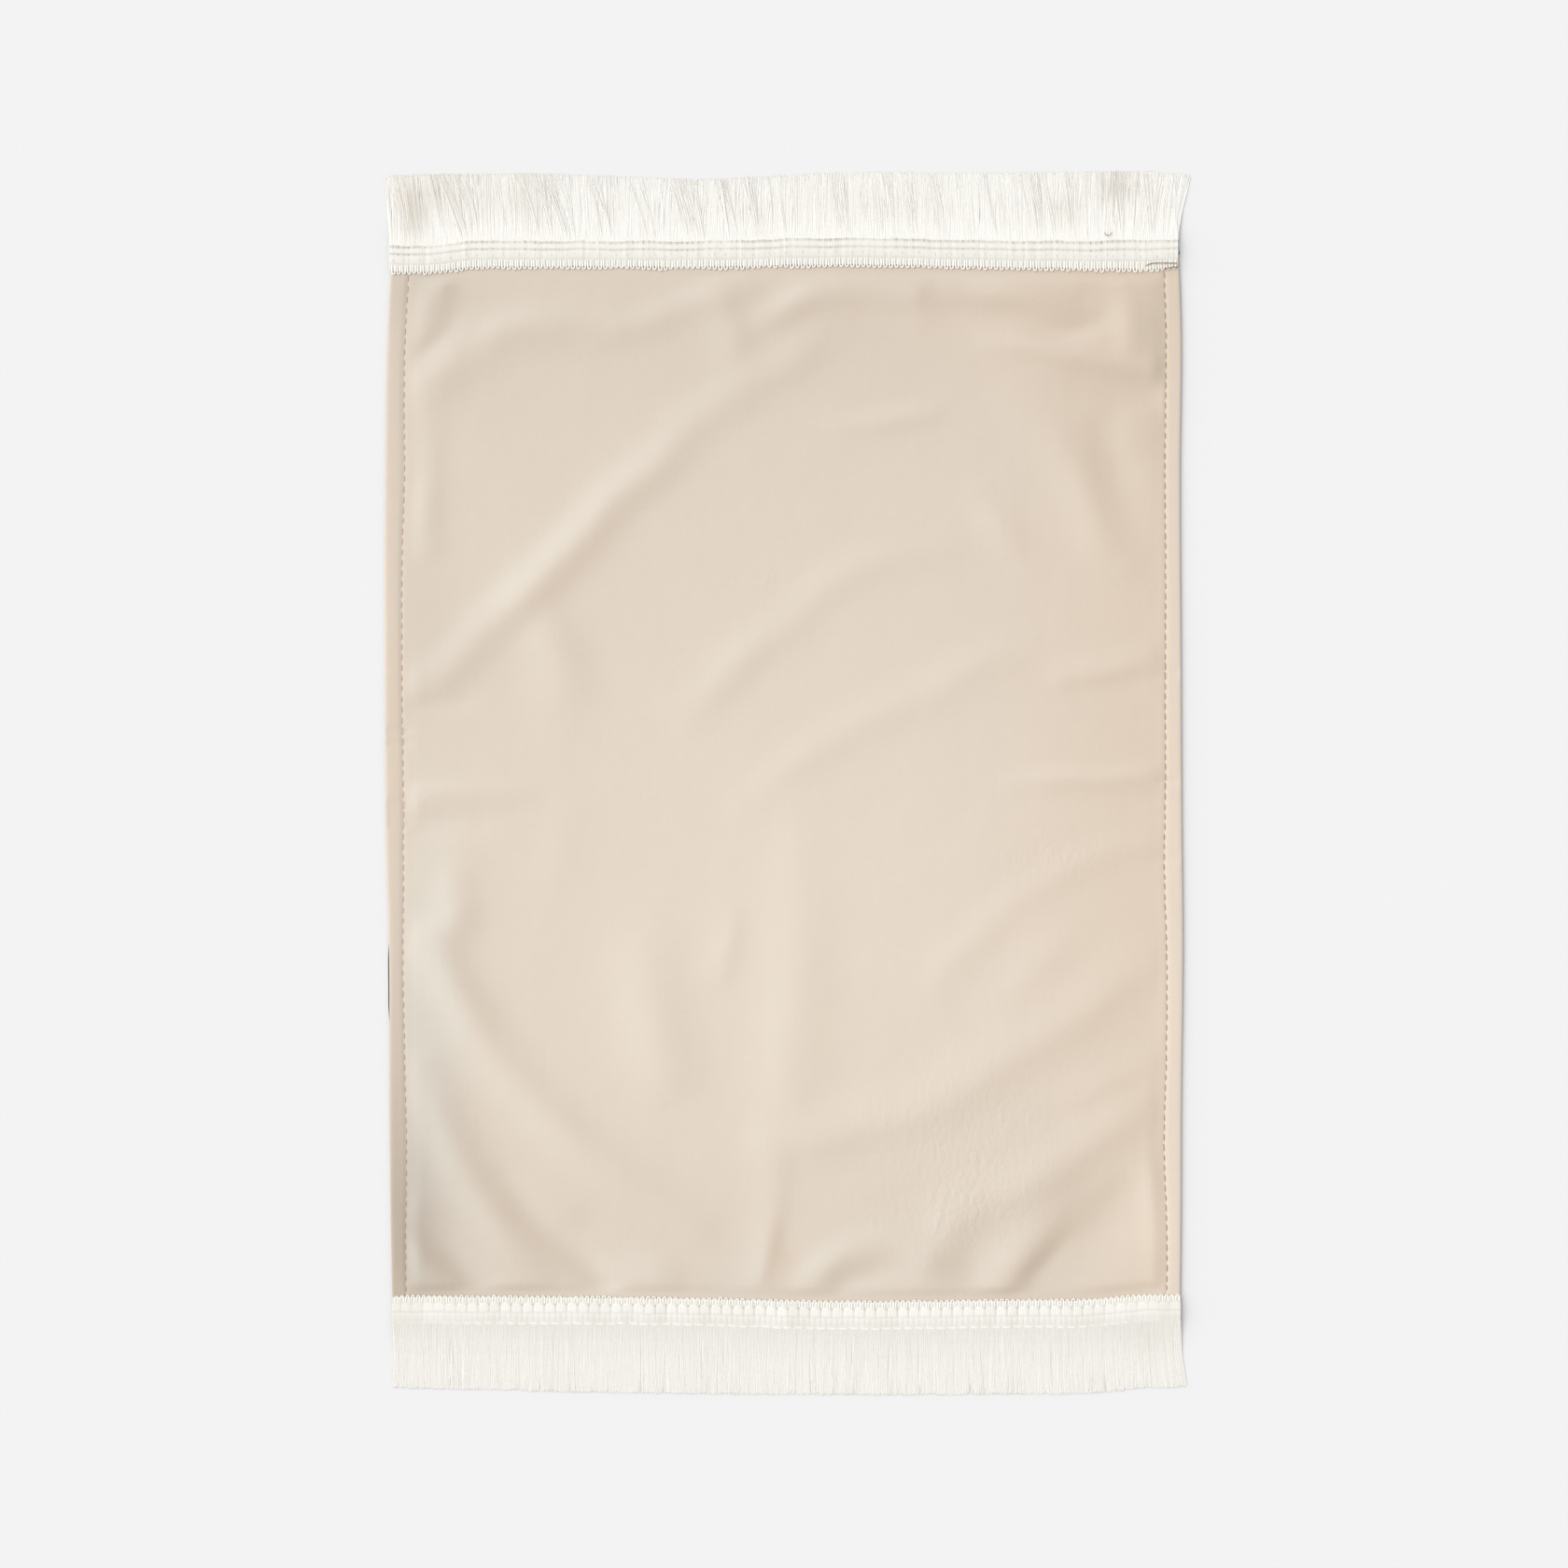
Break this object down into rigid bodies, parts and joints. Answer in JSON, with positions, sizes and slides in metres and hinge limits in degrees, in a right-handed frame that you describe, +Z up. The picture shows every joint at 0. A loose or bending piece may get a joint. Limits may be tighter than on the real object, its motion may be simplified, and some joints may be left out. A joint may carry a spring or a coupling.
{
  "type": "prayer rug",
  "caption": "Plain rectangular prayer rug lying flat, with topstitched side hems, a woven heading and a long fringe at each short end.",
  "frame": {"origin": "centre of the rug's outline, fringes included, on the floor that it lies on", "axes": "+X across the rug, +Y along it towards the end whose heading shows its flat side, +Z up"},
  "size_m": [0.6562, 0.9996, 0.0058],
  "materials": {
    "cloth": "smooth beige sateen with a soft sheen",
    "backing": "matt dark charcoal cloth",
    "trim": "cream silky yarn"
  },
  "bodies": {
    "root": {"cloth": "cloth", "under_cloth": "backing", "trim_top": "trim", "trim_bottom": "trim"}
  },
  "joints": []
}
